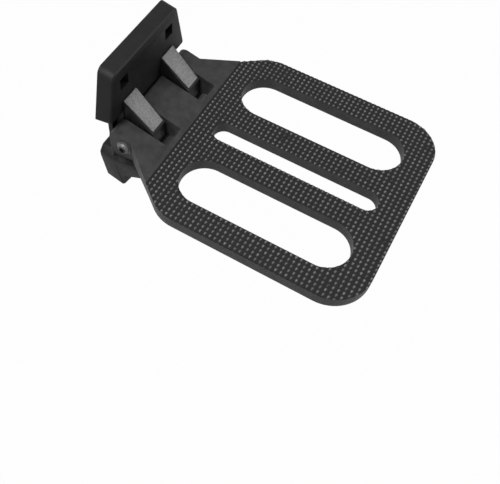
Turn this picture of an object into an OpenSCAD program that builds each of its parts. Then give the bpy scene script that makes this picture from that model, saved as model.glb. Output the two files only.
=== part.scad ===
// Folding entry step: a ribbed tread plate hinged on a wall bracket.
// The wall is the plane y = 0, the step reaches out along -y, and z = 0 is
// the height of the tips of the grip points on the tread.

/* [Tread plate] */
// Width of the tread plate
tread_w = 178; // [150:1:220]
// Distance from the wall to the outer edge of the tread
tread_reach = 230.8; // [225:0.1:280]
// Thickness of the plate's rim, without the grip points
rim_h = 9.6; // [7:0.1:12]
// Thickness of the plate between its ribs
skin_t = 4.4; // [3:0.1:6]
// Radius of the two outer corners
outer_corner_r = 30; // [15:1:40]
// Radius of the two shoulders, where the flare meets the sides
shoulder_r = 30; // [10:1:40]

/* [Grip points] */
// Height of the grip points
grip_h = 0.9; // [0.4:0.1:1.5]
// Distance between the grip points, both ways
grip_pitch = 4; // [4:0.5:8]
// Distance from the wall to the first row of grip points
grip_near = 57.6; // [57.3:0.1:60]

/* [Slots in the tread] */
// Distance from the wall to the inner ends of the slots
slot_near = 72; // [70:0.5:90]
// Distance from the outer ends of the slots to the outer edge
slot_margin = 21; // [18:0.5:40]
// Width of the two side slots
side_slot_w = 40; // [20:1:44]
// Distance from the middle of the step to the middle of a side slot
side_slot_x = 48.5; // [46:0.5:50]
// Width of the middle slot
mid_slot_w = 18; // [10:1:22]

/* [Underside of the tread] */
// Width of the rim round the plate
outer_rim_w = 5; // [3:0.5:7]
// Width of the rim round each slot
slot_rim_w = 4; // [2.5:0.5:5]
// Thickness of the cross ribs
rib_t = 3; // [2:0.5:5]
// Distance between the cross ribs
rib_pitch = 23; // [15:1:40]

/* [Hub] */
// Thickness of the cheeks on either side of the lugs
cheek_t = 14.8; // [13:0.1:18]
// Distance from the wall to where the hub starts to flare
flare_near = 28.4; // [26:0.1:32]
// Distance from the wall to where the flare reaches the full width
flare_far = 76.5; // [65:0.5:90]
// Distance from the wall to the foot of the hub's sloping top
hub_foot = 55.2; // [53:0.1:58]
// Angle of the hub's sloping top
hub_slope = 13.4; // [10:0.1:14]
// Angle of the hub's sloping underside
under_slope = 9.8; // [8:0.1:10]
// Distance from the wall to where the underside meets the plate
under_far = 60; // [58:0.5:62]
// Distance from the wall to the rear edge of the cheeks
cheek_near = 9; // [8.5:0.1:9.8]
// Radius of the cheeks' rear top edge
cheek_top_r = 7; // [5:0.5:9]
// Radius of the cheeks' rear bottom edge
cheek_low_r = 6.5; // [5:0.5:9]
// Distance from the wall to the rear edge of the tongue
tongue_near = 13.4; // [13:0.1:15]
// Radius of the tongue's rear edge
tongue_edge_r = 2; // [1:0.5:3]
// Room round the tongue and the cheeks as they swing past the bracket
swing_room = 0.3; // [0.3:0.1:1]
// Width of the tongue between the two lugs
tongue_w = 32; // [28:0.5:34]
// Distance from the wall to the closed ends of the lug slots
lug_slot_far = 51.1; // [50.8:0.1:53]

/* [Hinge] */
// Distance from the wall to the hinge axis
axis_out = 21.8; // [21.6:0.1:22.4]
// Height of the hinge axis
axis_z = -4.1; // [-4.4:0.1:-3.9]
// Diameter of the hinge shaft
shaft_d = 10; // [8:0.5:11]
// Radial clearance of the shaft in its bushes
running_fit = 0.05; // [0.02:0.01:0.1]
// Radial clearance of what is pressed or screwed in
tight_fit = 0.02; // [0.01:0.01:0.05]
// Wall of the bushes
bush_wall = 1.5; // [1:0.25:2]
// Outer diameter of the thrust washers
washer_d = 16; // [15:0.5:16.5]
// Thickness of the thrust washers
washer_t = 1.4; // [1:0.1:2]
// Side clearance on each face of a thrust washer
side_fit = 0.1; // [0.05:0.05:0.3]
// Distance from the end of the shaft to the outside of the cheek
shaft_end_gap = 1; // [0.5:0.1:2]

/* [Hinge screws] */
// Thread diameter of the hinge screws
screw_d = 6; // [4:1:6]
// Length of the hinge screws under the head
screw_l = 12; // [8:1:16]
// Diameter of the button head
head_d = 10.5; // [8:0.5:12]
// Height of the button head
head_h = 3.3; // [2:0.1:4]
// Height of the rim of the button head, under its dome
head_rim_h = 0.6; // [0.3:0.1:1]
// Hexagon socket, across its flats
socket_af = 4; // [2.5:0.5:5]
// Depth of the hexagon socket
socket_depth = 2; // [1:0.1:2.5]
// Outer diameter of the washer under the head
head_washer_d = 12; // [11:0.5:14]
// Thickness of the washer under the head
head_washer_t = 0.8; // [0.5:0.1:1.6]

/* [Detents] */
// Diameter of the detent balls
ball_d = 4; // [3:0.5:4]
// Distance from the hinge axis to the detent balls
ball_out = 10.4; // [10.3:0.1:10.6]
// Radial clearance of a ball in its bore
ball_fit = 0.1; // [0.05:0.05:0.2]
// Clearance between a ball and the face that it runs on
ball_gap = 0.05; // [0.02:0.01:0.1]
// Depth of the blind bore for ball and spring
detent_depth = 10; // [8:0.5:12]
// Wire diameter of the detent springs
spring_wire_d = 0.6; // [0.4:0.1:0.8]
// Turns of the detent springs
spring_turns = 6; // [4:1:8]

/* [Wall bracket] */
// Thickness of the bracket's plate
bracket_t = 12.5; // [11:0.1:13]
// Bevel round the front of the bracket
bracket_bevel = 1; // [0.4:0.1:2]
// Height of the top of the bracket at the wall
head_top_z = 60; // [58:0.5:70]
// Fall of the bracket's top from the wall to its front
head_draft = 2.3; // [0:0.1:4]
// Height of the underside of the upper block
head_low_z = 15.5; // [15.5:0.1:18]
// Width of the upper block's front at its underside
head_low_w = 103.6; // [90:0.1:120]
// How much wider the upper block's underside is at the wall
head_flare = 4; // [0:0.1:6]
// Width of the upper block at its top
head_top_w = 84.6; // [76:0.1:100]
// Radius of the upper block's top corners
head_corner_r = 6; // [2:0.5:10]
// Radius of the small corners of both blocks
small_corner_r = 2.5; // [1:0.5:4]
// Width of the neck between the two blocks
neck_w = 70.6; // [69:0.1:71.4]
// Width of the web behind the neck
web_w = 79.8; // [74:0.1:96]
// Thickness of the web behind the neck
web_t = 4; // [2:0.1:4.8]

/* [Lower block] */
// Height of the lower block's top
foot_top_z = -15; // [-16.5:0.1:-14.8]
// Width of the lower block at its top
foot_top_w = 99; // [90:0.5:106]
// Width of the lower block at its widest
foot_mid_w = 108; // [104:0.5:116]
// Height where the lower block starts to be widest
foot_wide_z = -19.5; // [-21:0.5:-17]
// Height below which the lower block narrows
foot_taper_z = -24; // [-30:0.5:-22]
// Width of the lower block at its bottom corners
foot_low_w = 98; // [90:0.5:106]
// Height of the lower block's bottom corners at the wall
foot_low_z = -57; // [-64:0.5:-54]
// Fall of the bottom corners from the wall to the front
foot_fall = 5; // [0:0.5:6]
// Lean of the lower block's front, over its height
foot_lean = 2.5; // [0:0.1:3]
// Radius of the lower block's bottom corners
foot_corner_r = 4; // [2:0.5:8]
// Angle of the lower block's bottom edges
foot_vee = 11; // [0:1:15]
// Width of the flat in the middle of the bottom edge
foot_flat_w = 40; // [20:1:60]

/* [Shelf under the hub] */
// Clearance between the opened hub and the shelf that stops it
stop_gap = 0.3; // [0.1:0.1:0.5]
// Distance from the wall to the front of the shelf
shelf_reach = 40; // [38:0.5:41]
// Thickness of the shelf
shelf_t = 7; // [5:0.5:9]
// Height of the shelf's front face
shelf_front_h = 14.8; // [12:0.1:17]
// Thickness of the shelf's front wall
shelf_wall_t = 5; // [3:0.5:7]
// Distance from the wall to the knee of the side ribs
knee_out = 34.6; // [30:0.1:36]
// Height of the knee of the side ribs
knee_z = -32.6; // [-36:0.1:-31]
// Height where the side ribs meet the plate
rib_foot_z = -47; // [-50:0.5:-40]
// Thickness of the side ribs
side_rib_t = 9; // [6:0.5:12]
// Thickness of the middle rib
mid_rib_t = 10; // [6:0.5:14]

/* [Lugs] */
// Thickness of each lug
lug_t = 16.8; // [15:0.1:18]
// Distance from the wall to the nose of the lugs
lug_reach = 37.6; // [36:0.1:38]
// Height of the lug plates at the bracket's front
lug_top_z = 27.3; // [26:0.1:27.5]
// Height of the lug plates at the nose
lug_tip_z = 4.5; // [3:0.1:4.8]
// Thickness of the lug plates
lug_plate_t = 1; // [0.8:0.1:2]
// Width of a lug plate at its top
lug_plate_top_w = 16; // [12:0.1:16.4]
// Width of a lug plate at its tip
lug_plate_tip_w = 13.4; // [10:0.1:16]
// Gap between the bracket's front and the lug plate's lower edge
lug_plate_gap = 0.2; // [0.1:0.1:2]
// Length of a lug plate
lug_plate_l = 31.7; // [24:0.1:32]
// Radius of the lug plates' corners
lug_plate_r = 0.8; // [0.5:0.1:3]
// Diameter of the dowel pins under the lug plates
dowel_d = 3; // [2:0.5:4]
// Length of the dowel pins
dowel_l = 8; // [5:0.5:12]
// Depth of the dowel pins in the lug plates
dowel_in_plate = 0.5; // [0.3:0.1:0.7]
// Distance between the two dowel pins of a lug plate
dowel_pitch = 18; // [12:1:22]

/* [Wall bolts] */
// Distance between the bolts across the bracket
bolt_dx = 60; // [54:0.5:64]
// Distance between the bolts up the bracket
bolt_dz = 86; // [82:0.5:92]
// Square seat of a bolt head, across its flats
seat_w = 10; // [8:0.5:12]
// Depth of the square seat
seat_depth = 6; // [3:0.5:9]
// Diameter of the bolt holes
bolt_hole_d = 8.5; // [5:0.5:9]

/* [Hidden] */

// Facets of a full circle
$fn = 96;
// Steps in each rounded corner of an outline
arc_steps = 16;
// Overlap of solids that are joined, and overshoot of cuts
eps = 1;
// Colours of the pieces
coat_color = [0.13, 0.13, 0.135];
tread_color = [0.16, 0.16, 0.165];
bare_color = [0.5, 0.5, 0.49];
steel_color = [0.6, 0.6, 0.62];
bronze_color = [0.62, 0.47, 0.25];

deck_z = -grip_h;
deck_low_z = deck_z - rim_h;
slot_far = tread_reach - slot_margin;

// Stations of the hinge stack, measured from the middle of the step
washer_gap = washer_t + 2 * side_fit;
lug_in = tongue_w / 2 + washer_gap;
lug_out = lug_in + lug_t;
cheek_in = lug_out + washer_gap;
cheek_out = cheek_in + cheek_t;
hub_w = 2 * cheek_out;
lug_mid = (lug_in + lug_out) / 2;
shaft_end = cheek_out - shaft_end_gap;
bush_d = shaft_d + 2 * (running_fit + bush_wall);

// Slope that carries the lug plates
lug_slope = atan2(lug_top_z - lug_tip_z, lug_reach - bracket_t);
lug_drop = lug_plate_t / cos(lug_slope);
lug_plate_start = lug_plate_t * tan(lug_slope) + lug_plate_gap;

// The tongue is round about the axis where it faces the shelf
tongue_r = (axis_z - hub_under(axis_out)) * cos(under_slope);
// Radii that the tongue and the cheeks sweep, with room round them
tongue_sweep_r = norm([axis_out - tongue_near, hub_top(tongue_near) - axis_z]) + swing_room;
low_corner_out = cheek_near + cheek_low_r;
low_corner_z = hub_under(low_corner_out) + cheek_low_r / cos(under_slope);
cheek_sweep_r = norm([axis_out - low_corner_out, axis_z - low_corner_z]) + cheek_low_r + swing_room;

// Heights of the hub's sloping top and underside, and of the shelf under it,
// at a distance from the wall
function hub_top(out) = tan(hub_slope) * (hub_foot - out);
function hub_under(out) = deck_low_z - tan(under_slope) * (under_far - out);
function shelf_top(out) = hub_under(out) - stop_gap / cos(under_slope);

// Outlines are lists of corners [x, y, radius], counter-clockwise.
function unit(v) = v / norm(v);
function left_of(v) = [-v[1], v[0]];
function place(c, i) = let (p = c[(i + len(c)) % len(c)]) [p[0], p[1]];

// The same outline with every side moved in by d
function inset(c, d) = [
    for (i = [0 : len(c) - 1])
        let (
            u = unit(place(c, i) - place(c, i - 1)),
            v = unit(place(c, i + 1) - place(c, i)),
            p = place(c, i) + d * (left_of(u) + left_of(v)) / (1 + u * v)
        )
        [p[0], p[1], max(0, c[i][2] - sign(cross(u, v)) * d)]
];

// The points of the outline, with an arc of equal steps at each corner
function rounded(c) = [
    for (i = [0 : len(c) - 1])
        let (
            r = c[i][2],
            u = unit(place(c, i) - place(c, i - 1)),
            v = unit(place(c, i + 1) - place(c, i)),
            turn = atan2(cross(u, v), u * v),
            side = sign(turn),
            start = place(c, i) - u * r * tan(abs(turn) / 2),
            centre = start + left_of(u) * r * side,
            heading = atan2(u[1], u[0])
        )
        each r == 0 ? [place(c, i)] : [
            for (k = [0 : arc_steps])
                let (a = heading - 90 * side + turn * k / arc_steps)
                centre + r * [cos(a), sin(a)]
        ]
];

// An outline that is mirrored in x, from the corners of its right half
function both_halves(half) = [
    each half,
    for (i = [len(half) - 1 : -1 : 0]) [-half[i][0], half[i][1], half[i][2]]
];

// Extrudes an outline of (y, z) points along x, from x0 to x1
module along_x(x0, x1) {
    translate([x0, 0, 0])
        rotate([90, 0, 90])
            linear_extrude(x1 - x0)
                children();
}

// Extrudes an outline of (x, z) points out from the wall, from d0 to d1
module from_wall(d0, d1) {
    translate([0, -d0, 0])
        rotate([90, 0, 0])
            linear_extrude(d1 - d0)
                children();
}

// A cylinder along x, from x0 to x1
module rod(d, x0, x1) {
    translate([x0, 0, 0])
        rotate([0, 90, 0])
            cylinder(d = d, h = x1 - x0);
}

// Moves to the hinge axis
module at_hinge() {
    translate([0, -axis_out, axis_z])
        children();
}

// Draws its children and their mirror image
module both_sides() {
    children();
    mirror([1, 0, 0])
        children();
}

// A closed solid through rings of (x, z) points, each at its distance from
// the wall, with the rings in order from the wall. A ring may lean out below
// the height top_z: lean is the extra distance for each unit down.
module loft_from_wall(rings, distances, leans = [0, 0, 0], top_z = 0) {
    n = len(rings[0]);
    last = len(rings) - 1;
    polyhedron(
        points = [
            for (k = [0 : last]) for (p = rings[k])
                [p[0], -distances[k] - leans[k] * (top_z - p[1]), p[1]]
        ],
        faces = [
            [for (i = [0 : n - 1]) i],
            [for (i = [n - 1 : -1 : 0]) last * n + i],
            for (k = [0 : last - 1]) for (i = [0 : n - 1])
                let (j = (i + 1) % n)
                [k * n + i, (k + 1) * n + i, (k + 1) * n + j, k * n + j]
        ]
    );
}

// Outline of the whole tread from above, drawn in x and -y
tread_corners = both_halves([
    [hub_w / 2, 0, 0],
    [hub_w / 2, flare_near, 0],
    [tread_w / 2, flare_far, shoulder_r],
    [tread_w / 2, tread_reach, outer_corner_r]
]);

module tread_outline(d) {
    mirror([0, 1])
        polygon(rounded(inset(tread_corners, d)));
}

// A slot with round ends, grown by d on every side
module slot(x, w, d) {
    near = slot_near + w / 2;
    far = slot_far - w / 2;
    translate([x, -far])
        circle(d = w + 2 * d);
    translate([x, -near])
        circle(d = w + 2 * d);
    translate([x - w / 2 - d, -far])
        square([w + 2 * d, far - near]);
}

module slots(d) {
    slot(0, mid_slot_w, d);
    slot(side_slot_x, side_slot_w, d);
    slot(-side_slot_x, side_slot_w, d);
}

// Lines of the cross ribs, seen from above
module cross_ribs() {
    for (y = [flare_far : rib_pitch : tread_reach - outer_rim_w])
        translate([-tread_w / 2, -y - rib_t / 2])
            square([tread_w, rib_t]);
}

// What is taken out of the underside between the rims and the ribs
module underside_pockets() {
    translate([0, 0, deck_low_z - eps])
        linear_extrude(rim_h - skin_t + eps)
            difference() {
                intersection() {
                    tread_outline(outer_rim_w);
                    translate([-tread_w / 2, -tread_reach])
                        square([tread_w, tread_reach - hub_foot]);
                }
                slots(slot_rim_w);
                cross_ribs();
            }
}

// Closes a side view of the hub, [y, z, radius], from the rear edge to the plate
hub_front = [
    [-hub_foot, 0, 0],
    [-hub_foot, deck_z - skin_t / 2, 0],
    [-under_far, deck_z - skin_t / 2, 0],
    [-under_far, deck_low_z, 0]
];

// Side view of the hub over its cheeks
module hub_profile() {
    polygon(rounded([
        [-cheek_near, hub_under(cheek_near), cheek_low_r],
        [-cheek_near, hub_top(cheek_near), cheek_top_r],
        each hub_front
    ]));
}

// Side view of the tongue, whose rear edge stands over its round part. It meets
// the hub at the closed ends of the lug gaps and goes on inside it.
module tongue_profile() {
    rear_out = axis_out - tongue_r;
    polygon(rounded([
        [-rear_out, hub_under(rear_out), tongue_r],
        [-rear_out, axis_z + tongue_edge_r, tongue_edge_r],
        [-tongue_near, hub_top(tongue_near), tongue_edge_r],
        [-lug_slot_far, hub_top(lug_slot_far), 0],
        [-lug_slot_far - eps, deck_z, 0],
        [-lug_slot_far - eps, deck_low_z, 0],
        [-lug_slot_far, hub_under(lug_slot_far), 0]
    ]));
}

// The hub, open to the wall between the cheeks, with the tongue set in
module hub() {
    difference() {
        along_x(-tread_w / 2 - eps, tread_w / 2 + eps)
            hub_profile();
        translate([-cheek_in, -lug_slot_far, hub_under(0)])
            cube([2 * cheek_in, lug_slot_far, hub_top(0) - hub_under(0)]);
    }
    along_x(-tongue_w / 2, tongue_w / 2)
        tongue_profile();
}

// Shallow seats in the cheeks for the detent balls, opened and folded
module detent_dimples() {
    for (a = [0, 90])
        at_hinge()
            rotate([a, 0, 0])
                translate([cheek_in, -ball_out, 0])
                    rotate([0, 90, 0])
                        cylinder(d1 = ball_d / 2, d2 = 0.2 * ball_d, h = ball_d / 8);
}

// Section of a plate with n ridges side by side and a flat strip before them
function ridges(n, strip) = [
    [-strip, -rim_h],
    [-strip, 0],
    for (i = [0 : n - 1]) each [
        [i * grip_pitch, 0],
        [(i + 0.5) * grip_pitch, grip_h]
    ],
    [n * grip_pitch, 0],
    [n * grip_pitch, -rim_h]
];

// The plate before its outline is cut: ridges along y crossed with ridges
// along x leave pyramids side by side
module gripped_plate() {
    columns = 2 * ceil((tread_w / 2 + eps) / grip_pitch);
    rows = ceil((tread_reach + eps - grip_near) / grip_pitch + 0.5);
    first = grip_near - grip_pitch / 2;
    strip = first - hub_foot + eps;
    translate([-columns * grip_pitch / 2, -first, deck_z])
        intersection() {
            translate([0, strip, 0])
                rotate([90, 0, 0])
                    linear_extrude(rows * grip_pitch + strip)
                        polygon(ridges(columns, 0));
            rotate([90, 0, 90])
                linear_extrude(columns * grip_pitch)
                    mirror([1, 0])
                        polygon(ridges(rows, strip));
        }
}

module tread() {
    color(tread_color)
        difference() {
            intersection() {
                translate([0, 0, hub_under(0)])
                    linear_extrude(hub_top(0) - hub_under(0))
                        tread_outline(0);
                union() {
                    difference() {
                        gripped_plate();
                        underside_pockets();
                    }
                    hub();
                }
            }
            translate([0, 0, deck_low_z - eps])
                linear_extrude(rim_h + grip_h + 2 * eps)
                    slots(0);
            at_hinge()
                rod(shaft_d + 2 * tight_fit, -hub_w, hub_w);
            both_sides()
                detent_dimples();
        }
}

// Outline of the upper block: [x, z, radius]
function head_corners(low_w, top_z) = both_halves([
    [low_w / 2, head_low_z, small_corner_r],
    [head_top_w / 2, top_z, head_corner_r]
]);

module upper_block() {
    front_z = head_top_z - head_draft;
    bevel_share = bracket_bevel / bracket_t;
    loft_from_wall(
        [
            rounded(head_corners(head_low_w + head_flare, head_top_z)),
            rounded(head_corners(head_low_w + head_flare * bevel_share, front_z + head_draft * bevel_share)),
            rounded(inset(head_corners(head_low_w, front_z), bracket_bevel))
        ],
        [0, bracket_t - bracket_bevel, bracket_t]
    );
}

// Outline of the lower block: [x, z, radius]
function foot_corners(top_z, low_z) = let (
        run = (foot_low_w - foot_flat_w) / 2,
        vee_z = low_z - run * tan(foot_vee)
    ) both_halves([
        [foot_flat_w / 2, vee_z, 0],
        [foot_low_w / 2, low_z, foot_corner_r],
        [foot_mid_w / 2, foot_taper_z, 0],
        [foot_mid_w / 2, foot_wide_z, 0],
        [foot_top_w / 2, top_z, small_corner_r]
    ]);

module lower_block() {
    lean = foot_lean / (foot_top_z - foot_low_z + foot_fall);
    bevel_share = bracket_bevel / bracket_t;
    loft_from_wall(
        [
            rounded(foot_corners(foot_top_z, foot_low_z)),
            rounded(foot_corners(foot_top_z, foot_low_z - foot_fall * (1 - bevel_share))),
            rounded(inset(foot_corners(foot_top_z, foot_low_z - foot_fall), bracket_bevel))
        ],
        [0, bracket_t - bracket_bevel, bracket_t],
        [0, lean, lean],
        foot_top_z
    );
}

// Shelf that the opened hub rests on, with its side ribs and middle rib
module shelf() {
    difference() {
        intersection() {
            from_wall(0, shelf_reach)
                polygon(rounded(foot_corners(hub_under(under_far), foot_low_z)));
            along_x(-foot_mid_w, foot_mid_w)
                polygon([
                    [0, shelf_top(0)],
                    [-shelf_reach, shelf_top(shelf_reach)],
                    [-shelf_reach, shelf_top(shelf_reach) - shelf_front_h],
                    [-knee_out, knee_z],
                    [-bracket_t, rib_foot_z],
                    [0, rib_foot_z]
                ]);
        }
        both_sides()
            shelf_pocket();
    }
}

// Pocket under the shelf, open at the bottom, between a side rib and the middle
module shelf_pocket() {
    wall_out = shelf_reach - shelf_wall_t;
    along_x(mid_rib_t / 2, foot_low_w / 2 - side_rib_t)
        polygon([
            [-bracket_t, shelf_top(bracket_t) - shelf_t],
            [-wall_out, shelf_top(wall_out) - shelf_t],
            [-wall_out, rib_foot_z - eps],
            [-bracket_t, rib_foot_z - eps]
        ]);
}

module lugs() {
    both_sides()
        along_x(lug_in, lug_out)
            polygon([
                [-bracket_t / 2, shelf_top(bracket_t) - eps],
                [-bracket_t / 2, lug_top_z - lug_drop],
                [-bracket_t, lug_top_z - lug_drop],
                [-lug_reach, lug_tip_z - lug_drop],
                [-lug_reach, shelf_top(lug_reach) - eps]
            ]);
}

// Moves to the top of a lug's slope: -y runs down it and +z stands off it
module on_slope() {
    translate([lug_mid, -bracket_t, lug_top_z])
        rotate([lug_slope, 0, 0])
            children();
}

module dowel_places() {
    mid = lug_plate_start + lug_plate_l / 2;
    for (d = [-dowel_pitch / 2, dowel_pitch / 2])
        on_slope()
            translate([0, -mid + d, -lug_plate_t + dowel_in_plate - dowel_l])
                children();
}

module bolt_holes() {
    for (x = [-bolt_dx / 2, bolt_dx / 2])
        for (z = [-bolt_dz / 2, bolt_dz / 2])
            translate([x, 0, z])
                rotate([90, 0, 0]) {
                    translate([0, 0, -eps])
                        cylinder(d = bolt_hole_d, h = bracket_t + 2 * eps);
                    translate([-seat_w / 2, -seat_w / 2, bracket_t - seat_depth])
                        cube([seat_w, seat_w, seat_depth + foot_lean + eps]);
                }
}

// Room for the tongue's rear edge as the step folds
module tongue_relief() {
    relief_w = (tongue_w + lug_in * 2) / 2;
    intersection() {
        at_hinge()
            rod(2 * tongue_sweep_r, -relief_w / 2, relief_w / 2);
        translate([-relief_w, -bracket_t - eps, shelf_top(bracket_t)])
            cube([2 * relief_w, bracket_t, 2 * tongue_sweep_r]);
    }
}

// Room for the cheeks' rear edges, in the lower block and the shelf
module cheek_relief() {
    at_hinge()
        rod(2 * cheek_sweep_r, neck_w / 2, foot_mid_w);
}

module wall_bracket() {
    color(coat_color)
        difference() {
            union() {
                upper_block();
                lower_block();
                translate([-neck_w / 2, -bracket_t, foot_top_z - eps])
                    cube([neck_w, bracket_t, head_low_z - foot_top_z + 2 * eps]);
                translate([-web_w / 2, -web_t, foot_top_z - eps])
                    cube([web_w, web_t, head_low_z - foot_top_z + 2 * eps]);
                shelf();
                lugs();
            }
            bolt_holes();
            tongue_relief();
            both_sides() {
                cheek_relief();
                at_hinge()
                    rod(bush_d + 2 * tight_fit, lug_in - eps, lug_out + eps / 4);
                detent_bore();
                dowel_places()
                    cylinder(d = dowel_d + 2 * tight_fit, h = dowel_l);
            }
        }
}

// Blind bore in the outer face of a lug, for the ball and its spring
module detent_bore() {
    at_hinge()
        translate([0, -ball_out, 0])
            rod(ball_d + 2 * ball_fit, lug_out - detent_depth, lug_out + eps / 4);
}

module lug_plate() {
    color(bare_color)
        difference() {
            on_slope()
                translate([0, 0, -lug_plate_t])
                    linear_extrude(lug_plate_t)
                        mirror([0, 1])
                            polygon(rounded(both_halves([
                                [lug_plate_top_w / 2, lug_plate_start, lug_plate_r],
                                [lug_plate_tip_w / 2, lug_plate_start + lug_plate_l, lug_plate_r]
                            ])));
            dowel_places()
                cylinder(d = dowel_d + 2 * tight_fit, h = dowel_l + tight_fit);
        }
}

module plate_dowels() {
    color(steel_color)
        dowel_places()
            cylinder(d = dowel_d, h = dowel_l);
}

module hinge_shaft() {
    color(steel_color)
        at_hinge()
            difference() {
                rod(shaft_d, -shaft_end, shaft_end);
                both_sides()
                    rod(screw_d + 2 * tight_fit, cheek_out + head_washer_t - screw_l - eps, hub_w);
            }
}

// Button head on a shank, with a hexagon socket, pointing along x
module hinge_screw() {
    // Radius of the sphere whose cap is the button head, above its rim
    cap_h = head_h - head_rim_h;
    cap_r = (head_d * head_d / 4 + cap_h * cap_h) / (2 * cap_h);
    cap_a = asin(head_d / 2 / cap_r);
    color(steel_color)
        at_hinge()
            translate([cheek_out + head_washer_t, 0, 0])
                rotate([0, 90, 0])
                    difference() {
                        rotate_extrude()
                            polygon([
                                [0, -screw_l],
                                [screw_d / 2, -screw_l],
                                [screw_d / 2, 0],
                                [head_d / 2, 0],
                                for (k = [0 : arc_steps])
                                    let (a = cap_a * (1 - k / arc_steps))
                                    [cap_r * sin(a), head_h - cap_r + cap_r * cos(a)]
                            ]);
                        translate([0, 0, head_h - socket_depth])
                            cylinder(d = socket_af / cos(30), h = socket_depth + eps, $fn = 6);
                    }
}

module screw_washer() {
    color(steel_color)
        at_hinge()
            difference() {
                rod(head_washer_d, cheek_out, cheek_out + head_washer_t);
                rod(screw_d + 2 * running_fit, 0, hub_w);
            }
}

module lug_bush() {
    color(bronze_color)
        at_hinge()
            difference() {
                rod(bush_d, lug_in, lug_out);
                rod(shaft_d + 2 * running_fit, 0, hub_w);
            }
}

module thrust_washer(x) {
    color(bronze_color)
        at_hinge()
            difference() {
                rod(washer_d, x + side_fit, x + side_fit + washer_t);
                rod(shaft_d + 2 * running_fit, 0, hub_w);
            }
}

module detent_ball() {
    color(steel_color)
        at_hinge()
            translate([cheek_in - ball_gap - ball_d / 2, -ball_out, 0])
                sphere(d = ball_d);
}

// A helix of round wire between the end of the bore and the ball
module detent_spring() {
    sides = 8;
    steps = 12 * spring_turns;
    coil_r = (ball_d - spring_wire_d) / 2;
    start_x = lug_out - detent_depth + spring_wire_d / 2 + ball_gap;
    ball_x = cheek_in - ball_gap - ball_d / 2;
    // The last turn lies where it meets the ball
    touch = sqrt(pow(ball_d / 2 + spring_wire_d / 2 + ball_gap, 2) - coil_r * coil_r);
    travel = ball_x - touch - start_x;
    rings = [
        for (i = [0 : steps])
            let (a = 360 * i / steps * spring_turns)
            for (k = [0 : sides - 1])
                let (
                    b = 360 * k / sides,
                    r = coil_r + spring_wire_d / 2 * cos(b)
                )
                [start_x + travel * i / steps + spring_wire_d / 2 * sin(b), r * cos(a), r * sin(a)]
    ];
    color(steel_color)
        at_hinge()
            translate([0, -ball_out, 0])
                polyhedron(
                    points = rings,
                    faces = [
                        [for (k = [0 : sides - 1]) k],
                        [for (k = [sides - 1 : -1 : 0]) steps * sides + k],
                        for (i = [0 : steps - 1]) for (k = [0 : sides - 1])
                            let (m = (k + 1) % sides)
                            [i * sides + k, (i + 1) * sides + k, (i + 1) * sides + m, i * sides + m]
                    ]
                );
}

// The left piece of a pair is the mirror image of the right one
module left() {
    mirror([1, 0, 0])
        children();
}

wall_bracket();
tread();
left() lug_plate();  // lug_plate_left
lug_plate();  // lug_plate_right
left() plate_dowels();  // plate_dowels_left
plate_dowels();  // plate_dowels_right
hinge_shaft();
left() hinge_screw();  // hinge_screw_left
hinge_screw();  // hinge_screw_right
left() screw_washer();  // screw_washer_left
screw_washer();  // screw_washer_right
left() lug_bush();  // lug_bush_left
lug_bush();  // lug_bush_right
left() thrust_washer(lug_out);  // outer_thrust_washer_left
thrust_washer(lug_out);  // outer_thrust_washer_right
left() thrust_washer(tongue_w / 2);  // inner_thrust_washer_left
thrust_washer(tongue_w / 2);  // inner_thrust_washer_right
left() detent_ball();  // detent_ball_left
detent_ball();  // detent_ball_right
left() detent_spring();  // detent_spring_left
detent_spring();  // detent_spring_right
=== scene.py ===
import math
import bpy
from mathutils import Matrix, Vector

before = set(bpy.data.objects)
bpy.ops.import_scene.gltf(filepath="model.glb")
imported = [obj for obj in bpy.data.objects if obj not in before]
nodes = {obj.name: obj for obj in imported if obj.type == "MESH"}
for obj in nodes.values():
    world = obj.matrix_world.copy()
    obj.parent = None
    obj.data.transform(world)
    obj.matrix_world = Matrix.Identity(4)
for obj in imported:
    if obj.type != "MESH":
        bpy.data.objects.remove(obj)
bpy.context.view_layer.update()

mm = 0.001  # the frame is in metres, the sizes below are in millimetres
print("frame loaded,", len(nodes), "nodes")


# Small helpers

def hexToLinear(code):
    # sRGB hex to the linear colour that a shader takes
    channels = [int(code[k:k + 2], 16) / 255 for k in (1, 3, 5)]
    linear = [c / 12.92 if c <= 0.04045 else ((c + 0.055) / 1.055) ** 2.4 for c in channels]
    return (*linear, 1.0)


def addNode(tree, kind, inputs=None, **settings):
    # one node with its settings; an input is a value or another node's socket
    node = tree.nodes.new(kind)
    for name, value in settings.items():
        setattr(node, name, value)
    for name, value in (inputs or {}).items():
        socket = node.inputs[name]
        if isinstance(value, bpy.types.NodeSocket):
            tree.links.new(value, socket)
        else:
            socket.default_value = value
    return node


def newMaterial(name):
    material = bpy.data.materials.new(name)
    material.use_nodes = True
    material.node_tree.nodes.clear()
    return material, material.node_tree


def dress(names, *materials):
    # the first material covers the piece, a second one its bevelled edges
    for name in names:
        nodes[name].data.materials.clear()
        for material in materials:
            nodes[name].data.materials.append(material)


# Camera: where the photograph was taken from

cameraSet = dict(
    place=(-295.04, -222.91, 396.93),  # mm, in the frame
    azimuth=-64.95,  # degrees, 0 looks along +Y
    elevation=60.0,  # degrees above the level
    roll=5.39,
    lens=47.34,
    shiftX=0.0616,
    clipStart=10.0,  # mm
)


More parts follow.
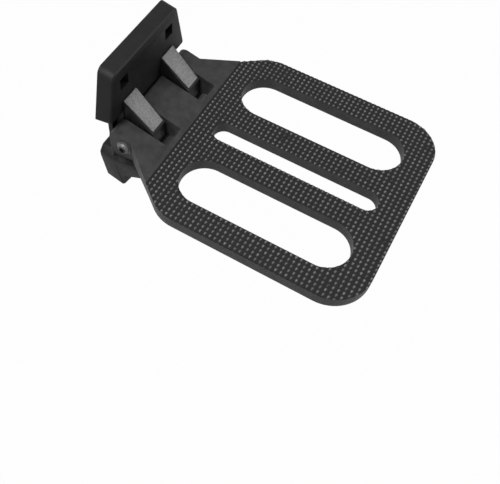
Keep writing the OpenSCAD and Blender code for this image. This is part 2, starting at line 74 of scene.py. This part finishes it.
def makeCamera(s):
    # azimuth and elevation give the line of sight, and the roll turns right and up about it
    az, el, roll = (math.radians(s[k]) for k in ("azimuth", "elevation", "roll"))
    look = Vector((-math.sin(az) * math.cos(el), math.cos(az) * math.cos(el), -math.sin(el)))
    level = Vector((math.cos(az), math.sin(az), 0.0))
    rise = level.cross(look)
    right = level * math.cos(roll) + rise * math.sin(roll)
    up = rise * math.cos(roll) - level * math.sin(roll)
    data = bpy.data.cameras.new("camera")
    data.lens = s["lens"]
    data.shift_x = s["shiftX"]
    data.clip_start = s["clipStart"] * mm
    camera = bpy.data.objects.new("camera", data)
    turn = Matrix((right, up, -look)).transposed().to_4x4()
    camera.matrix_world = Matrix.Translation(Vector(s["place"]) * mm) @ turn
    bpy.context.scene.collection.objects.link(camera)
    bpy.context.scene.camera = camera


makeCamera(cameraSet)
print("camera placed")


# Materials

def gripHighlightAndShade(tree, place, colour, normal, s):
    # A painted highlight greys the tips of the grip points, and painted shade darkens the ground
    # between them.
    # The distance from the nearest tip is the length of two triangle waves, one in x and one
    # in y, as long as the pitch. The nearness is 1 at a tip and falls to 0 along a smooth step.
    halfPitch = s["pitch"] / 2
    inMm = addNode(tree, "ShaderNodeVectorMath", {
        0: place, "Scale": 1 / mm}, operation="SCALE").outputs[0]
    fromTip = addNode(tree, "ShaderNodeVectorMath", {
        0: inMm, 1: (-s["firstX"], s["firstY"], 0.0)}, operation="ADD").outputs[0]
    part = addNode(tree, "ShaderNodeSeparateXYZ", {"Vector": fromTip}).outputs
    across = addNode(tree, "ShaderNodeMath", {
        0: part["X"], 1: halfPitch}, operation="PINGPONG").outputs[0]
    along = addNode(tree, "ShaderNodeMath", {
        0: part["Y"], 1: halfPitch}, operation="PINGPONG").outputs[0]
    along = addNode(tree, "ShaderNodeMath", {
        0: along, 1: s["stretch"]}, operation="MULTIPLY").outputs[0]
    flat = addNode(tree, "ShaderNodeCombineXYZ", {"X": across, "Y": along}).outputs[0]
    away = addNode(tree, "ShaderNodeVectorMath", {0: flat}, operation="LENGTH").outputs["Value"]
    near = addNode(tree, "ShaderNodeMapRange", {
        "Value": away, "From Min": s["tipR"], "From Max": s["footR"],
        "To Min": 1.0, "To Max": 0.0}, interpolation_type="SMOOTHSTEP").outputs[0]

    # the field lies outside the first row and no deeper than the points are high
    outside = addNode(tree, "ShaderNodeMath", {
        0: part["Y"], 1: halfPitch}, operation="LESS_THAN").outputs[0]
    high = addNode(tree, "ShaderNodeMath", {
        0: part["Z"], 1: -s["height"] - s["margin"]}, operation="GREATER_THAN").outputs[0]
    field = addNode(tree, "ShaderNodeMath", {0: outside, 1: high}, operation="MULTIPLY").outputs[0]

    # each point's painted highlight has its own random strength, and a few are faint
    cell = addNode(tree, "ShaderNodeVectorMath", {
        0: fromTip, "Scale": 1 / s["pitch"]}, operation="SCALE").outputs[0]
    cell = addNode(tree, "ShaderNodeVectorMath", {
        0: cell, 1: (0.5, 0.5, 0.0)}, operation="ADD").outputs[0]
    cell = addNode(tree, "ShaderNodeVectorMath", {0: cell}, operation="FLOOR").outputs[0]
    chance = addNode(tree, "ShaderNodeTexWhiteNoise", {
        "Vector": cell}, noise_dimensions="2D").outputs["Value"]
    glintStrength = addNode(tree, "ShaderNodeValToRGB", {"Fac": chance})
    least, most = glintStrength.color_ramp.elements
    least.color = (*[s["faintestGlint"]] * 3, 1.0)
    most.color = (*[s["fullGlint"]] * 3, 1.0)
    glintStrength.color_ramp.elements.new(s["faintShare"]).color = (*[s["someGlint"]] * 3, 1.0)
    tip = addNode(tree, "ShaderNodeMath", {
        0: near, 1: glintStrength.outputs["Color"]}, operation="MULTIPLY").outputs[0]

    ground = addNode(tree, "ShaderNodeMix", {
        0: tip, 6: hexToLinear(s["dark"]), 7: hexToLinear(s["light"])}, data_type="RGBA").outputs[2]
    mixed = addNode(tree, "ShaderNodeMix", {
        0: field, 6: colour, 7: ground}, data_type="RGBA").outputs[2]
    rise = addNode(tree, "ShaderNodeMath", {0: near, 1: field}, operation="MULTIPLY").outputs[0]
    bump = addNode(tree, "ShaderNodeBump", {
        "Height": rise, "Strength": s["bump"], "Distance": s["height"] * mm, "Normal": normal})
    return mixed, bump.outputs["Normal"]


coatNoise = dict(gritDetail=3.0, gritRoughness=0.6, cloudDetail=2.0, darkAt=0.1, lightAt=0.42)


def powderCoat(name, s):
    # Polyester powder coat, fine texture, sprayed on a die casting and baked:
    # a dull black skin of tiny bumps that scatters light into a soft grey sheen.
    # Its real grain of 0.1 to 0.2 mm is too fine to show, so it is drawn coarser.
    material, tree = newMaterial(name)
    place = addNode(tree, "ShaderNodeTexCoord").outputs["Object"]
    grit = addNode(tree, "ShaderNodeTexNoise", {
        "Vector": place, "Scale": 1 / (s["grit"] * mm),
        "Detail": coatNoise["gritDetail"], "Roughness": coatNoise["gritRoughness"]})
    cloud = addNode(tree, "ShaderNodeTexNoise", {
        "Vector": place, "Scale": 1 / (s["cloud"] * mm), "Detail": coatNoise["cloudDetail"]})
    mixBy = addNode(tree, "ShaderNodeMath", {
        0: grit.outputs["Fac"], 1: cloud.outputs["Fac"]}, operation="MULTIPLY")
    ramp = addNode(tree, "ShaderNodeValToRGB", {"Fac": mixBy.outputs[0]})
    dark, light = ramp.color_ramp.elements
    dark.position, dark.color = coatNoise["darkAt"], hexToLinear(s["dark"])
    light.position, light.color = coatNoise["lightAt"], hexToLinear(s["light"])
    bump = addNode(tree, "ShaderNodeBump", {
        "Height": grit.outputs["Fac"], "Strength": s["bump"], "Distance": s["grit"] * mm})
    colour, normal = ramp.outputs["Color"], bump.outputs["Normal"]
    if "grip" in s:
        colour, normal = gripHighlightAndShade(tree, place, colour, normal, s["grip"])
    shader = addNode(tree, "ShaderNodeBsdfPrincipled", {
        "Base Color": colour, "Roughness": s["roughness"],
        "Specular IOR Level": s["specular"], "Normal": normal})
    addNode(tree, "ShaderNodeOutputMaterial", {"Surface": shader.outputs[0]})
    return material


gripSet = dict(
    pitch=4.0,  # mm between grip points, both ways
    firstX=2.0,  # mm, the column of points next to the step's middle
    firstY=57.6,  # mm from the wall to the first row
    height=0.9,  # mm, the tips are at z = 0
    margin=0.05,  # mm, so that the ground between the points is in the field
    tipR=0.1,  # mm, full painted highlight inside this radius
    footR=1.75,  # mm, full painted shade on the ground outside this radius
    stretch=1.45,  # the painted highlight is this much longer across the step
    # colours of the painted shade between the points and of the painted highlight on the tips
    dark="#0a0a0b",
    light="#6a6a6c",
    faintShare=0.03,  # share of points with a fainter painted highlight
    faintestGlint=0.05,
    someGlint=0.55,
    fullGlint=1.0,
    bump=0.9,
)
# grit and cloud are sizes in mm, of the coat's grain and of its uneven patches
bracketCoat = powderCoat("bracket powder coat", dict(
    dark="#0b0b0c", light="#151516", grit=0.5, cloud=9.0, bump=0.3, roughness=0.55, specular=0.15))
# the tread's grip field carries painted highlights on the tips and painted shade between them
treadCoat = powderCoat("tread powder coat", dict(
    dark="#1c1c1d", light="#2f2f30", grit=0.5, cloud=7.0, bump=0.3, roughness=0.5, specular=0.2,
    grip=gripSet))

# bevelled edges in a lighter colour, a painted highlight, with a glossier coat so that they catch
# the light
bracketEdgeHighlight = powderCoat("bracket coat, painted edge highlight", dict(
    dark="#2c2c2d", light="#454546", grit=0.5, cloud=9.0, bump=0.1, roughness=0.25, specular=0.6))
treadEdgeHighlight = powderCoat("tread coat, painted edge highlight", dict(
    dark="#2a2a2b", light="#444445", grit=0.5, cloud=7.0, bump=0.1, roughness=0.25, specular=0.6))


metalNoise = dict(detail=2.0, roughness=0.7, darkAt=0.3, lightAt=0.7)


def bareMetal(name, s):
    # Metal without a coat: a dull grey or brown with a fine speckle, as blasting,
    # plating, grinding or sintering leaves it. The grit is the speckle's size in mm.
    material, tree = newMaterial(name)
    place = addNode(tree, "ShaderNodeTexCoord").outputs["Object"]
    grit = addNode(tree, "ShaderNodeTexNoise", {
        "Vector": place, "Scale": 1 / (s["grit"] * mm),
        "Detail": metalNoise["detail"], "Roughness": metalNoise["roughness"]})
    ramp = addNode(tree, "ShaderNodeValToRGB", {"Fac": grit.outputs["Fac"]})
    dark, light = ramp.color_ramp.elements
    dark.position, dark.color = metalNoise["darkAt"], hexToLinear(s["dark"])
    light.position, light.color = metalNoise["lightAt"], hexToLinear(s["light"])
    bump = addNode(tree, "ShaderNodeBump", {
        "Height": grit.outputs["Fac"], "Strength": s["bump"], "Distance": s["grit"] * mm})
    colour = ramp.outputs["Color"]
    if "socket" in s:
        # painted shade in the screw's socket: dark by the distance from the hinge's axis
        fromAxis = addNode(tree, "ShaderNodeVectorMath", {
            0: place, 1: (0.0, -s["hingeY"] * mm, -s["hingeZ"] * mm)}, operation="ADD").outputs[0]
        fromAxis = addNode(tree, "ShaderNodeVectorMath", {
            0: fromAxis, 1: (0.0, 1.0, 1.0)}, operation="MULTIPLY").outputs[0]
        away = addNode(tree, "ShaderNodeVectorMath", {
            0: fromAxis}, operation="LENGTH").outputs["Value"]
        outsideSocket = addNode(tree, "ShaderNodeMapRange", {
            "Value": away, "From Min": (s["socketR"] - s["socketFade"]) * mm,
            "From Max": (s["socketR"] + s["socketFade"]) * mm}).outputs[0]
        colour = addNode(tree, "ShaderNodeMix", {
            0: outsideSocket, 6: hexToLinear(s["socket"]), 7: colour}, data_type="RGBA").outputs[2]
    shader = addNode(tree, "ShaderNodeBsdfPrincipled", {
        "Base Color": colour, "Roughness": s["roughness"],
        "Metallic": s["metallic"], "Normal": bump.outputs["Normal"]})
    addNode(tree, "ShaderNodeOutputMaterial", {"Surface": shader.outputs[0]})
    return material


# stainless steel, bead-blasted: pale, dull and speckled
lugSteel = bareMetal("blasted stainless steel", dict(
    dark="#3a3a3b", light="#676768", grit=1.1, bump=0.3, roughness=0.5, metallic=0.35))
# zinc-plated steel, darkened by weather, with a soft gloss and painted shade in its socket
screwSteel = bareMetal("dark zinc steel", dict(
    dark="#464648", light="#626264", grit=0.5, bump=0.15, roughness=0.4, metallic=0.5,
    socket="#0c0c0d",
    socketR=3.4,  # mm, painted shade inside this radius
    socketFade=0.3,  # mm, half the width of its soft border
    hingeY=-21.8,  # mm, where the hinge's axis is
    hingeZ=-4.1))
# ground steel of the shaft, dowels, balls and springs: bright and fine
groundSteel = bareMetal("ground steel", dict(
    dark="#9c9c9e", light="#b4b4b6", grit=0.4, bump=0.1, roughness=0.3, metallic=1.0))
# sintered bronze of the bushes and thrust washers: brown, with fine pores
bushBronze = bareMetal("sintered bronze", dict(
    dark="#8a6a3a", light="#a8834a", grit=0.3, bump=0.2, roughness=0.45, metallic=1.0))

dress(["wall_bracket"], bracketCoat, bracketEdgeHighlight)
dress(["tread"], treadCoat, treadEdgeHighlight)
dress(["lug_plate_left", "lug_plate_right"], lugSteel)
dress([n for n in nodes if n.startswith(("hinge_screw", "screw_washer"))], screwSteel)
dress([n for n in nodes if n.startswith(("hinge_shaft", "plate_dowels", "detent"))], groundSteel)
dress([n for n in nodes if "bush" in n or "thrust" in n], bushBronze)
print("materials set")


# Edges: the small rounds that a casting and a coat of powder leave

edgeSet = dict(
    weld=0.002,  # mm, corners of loose triangles closer than this are joined
    segments=2,
    widths=dict(wall_bracket=0.5, tread=0.4, lug_plate_left=0.25, lug_plate_right=0.25),  # mm
    angle=32.0,  # degrees, sharper edges are rounded
    treadAngle=52.0,  # the grip points' own edges turn by up to 48 degrees and stay as they are
)


def smoothByAngle(angle):
    # a node group that shades smooth except at edges sharper than the angle
    group = bpy.data.node_groups.new("smooth by angle", "GeometryNodeTree")
    group.interface.new_socket("Geometry", in_out="INPUT", socket_type="NodeSocketGeometry")
    group.interface.new_socket("Geometry", in_out="OUTPUT", socket_type="NodeSocketGeometry")
    start = addNode(group, "NodeGroupInput").outputs[0]
    faces = addNode(group, "GeometryNodeSetShadeSmooth", {
        "Geometry": start, "Shade Smooth": True}, domain="FACE").outputs[0]
    turn = addNode(group, "GeometryNodeInputMeshEdgeAngle").outputs["Unsigned Angle"]
    soft = addNode(group, "FunctionNodeCompare", {
        "A": turn, "B": math.radians(angle)}, data_type="FLOAT", operation="LESS_EQUAL").outputs[0]
    edges = addNode(group, "GeometryNodeSetShadeSmooth", {
        "Geometry": faces, "Shade Smooth": soft}, domain="EDGE").outputs[0]
    addNode(group, "NodeGroupOutput", {0: edges})
    return group


def roundEdges(name, s):
    # joins the node's loose triangles, then bevels its sharp edges
    node = nodes[name]
    angle = s["treadAngle"] if name == "tread" else s["angle"]
    weld = node.modifiers.new("weld", "WELD")
    weld.merge_threshold = s["weld"] * mm
    bevel = node.modifiers.new("edge", "BEVEL")
    bevel.width = s["widths"][name] * mm
    bevel.segments = s["segments"]
    bevel.limit_method = "ANGLE"
    bevel.angle_limit = math.radians(angle)
    bevel.miter_outer = "MITER_ARC"
    if len(node.data.materials) > 1:
        bevel.material = 1  # the lighter edge material, a painted highlight
    shade = node.modifiers.new("shade", "NODES")
    shade.node_group = smoothByAngle(angle)


for name in edgeSet["widths"]:
    roundEdges(name, edgeSet)
print("edges rounded")


# Floor and light

stageSet = dict(
    floorZ=-330.0,  # mm, the floor is a step's height below
    floorSize=6000.0,  # mm
    floorWhite=0.98,  # how white the floor is to the camera, the rest of it takes the shadow
    floorGrey=0.28,  # what the floor gives back to the underside
    roomLight=0.26,  # what the room gives to the object, where white is 1
)


def seenOrReflected(tree):
    # 1 for a ray from the camera, from a reflection or through clear material, otherwise 0
    paths = addNode(tree, "ShaderNodeLightPath").outputs
    share = addNode(tree, "ShaderNodeMath", {
        0: paths["Is Camera Ray"], 1: paths["Is Glossy Ray"]}, operation="MAXIMUM").outputs[0]
    return addNode(tree, "ShaderNodeMath", {
        0: share, 1: paths["Is Transmission Ray"]}, operation="MAXIMUM").outputs[0]


def makeFloor(s):
    # a square that is white to the camera and in reflections, with part of its own shading
    half = s["floorSize"] / 2 * mm
    z = s["floorZ"] * mm
    corners = [(-half, -half, z), (half, -half, z), (half, half, z), (-half, half, z)]
    mesh = bpy.data.meshes.new("floor")
    mesh.from_pydata(corners, [], [(0, 1, 2, 3)])
    floor = bpy.data.objects.new("floor", mesh)
    bpy.context.scene.collection.objects.link(floor)
    material, tree = newMaterial("white floor")
    share = addNode(tree, "ShaderNodeMath", {
        0: seenOrReflected(tree), 1: s["floorWhite"]}, operation="MULTIPLY").outputs[0]
    shade = addNode(tree, "ShaderNodeBsdfDiffuse", {"Color": (*[s["floorGrey"]] * 3, 1.0)})
    glow = addNode(tree, "ShaderNodeEmission", {"Color": (1.0, 1.0, 1.0, 1.0), "Strength": 1.0})
    mix = addNode(tree, "ShaderNodeMixShader", {
        "Fac": share, 1: shade.outputs[0], 2: glow.outputs[0]})
    addNode(tree, "ShaderNodeOutputMaterial", {"Surface": mix.outputs[0]})
    floor.data.materials.append(material)


def makeWorld(s):
    # pale room light, white to the camera and in reflections
    world = bpy.data.worlds.new("room")
    world.use_nodes = True
    tree = world.node_tree
    tree.nodes.clear()
    strength = addNode(tree, "ShaderNodeMath", {
        0: seenOrReflected(tree), 1: 1.0 - s["roomLight"], 2: s["roomLight"]},
        operation="MULTIPLY_ADD").outputs[0]
    glow = addNode(tree, "ShaderNodeBackground", {
        "Color": (1.0, 1.0, 1.0, 1.0), "Strength": strength})
    addNode(tree, "ShaderNodeOutputWorld", {"Surface": glow.outputs[0]})
    bpy.context.scene.world = world


lampAim = (0.0, -100.0, 0.0)  # mm, all lamps point at the step's middle
lampSet = dict(  # square softboxes: places and sizes in mm
    key=dict(place=(-420.0, 60.0, 860.0), size=350.0, watts=12.5),
    front=dict(place=(560.0, -860.0, 330.0), size=200.0, watts=5.5),
    edges=dict(place=(-700.0, 310.0, 510.0), size=120.0, watts=2.5),
)


def addLamp(name, s):
    data = bpy.data.lights.new(name, "AREA")
    data.size = s["size"] * mm
    data.energy = s["watts"]
    lamp = bpy.data.objects.new(name, data)
    lamp.location = Vector(s["place"]) * mm
    toAim = Vector(lampAim) - Vector(s["place"])
    lamp.rotation_euler = toAim.to_track_quat("-Z", "Y").to_euler()
    bpy.context.scene.collection.objects.link(lamp)


makeFloor(stageSet)
makeWorld(stageSet)
for name in lampSet:
    addLamp(name, lampSet[name])
bpy.context.scene.view_settings.view_transform = "Standard"
print("stage and light set")
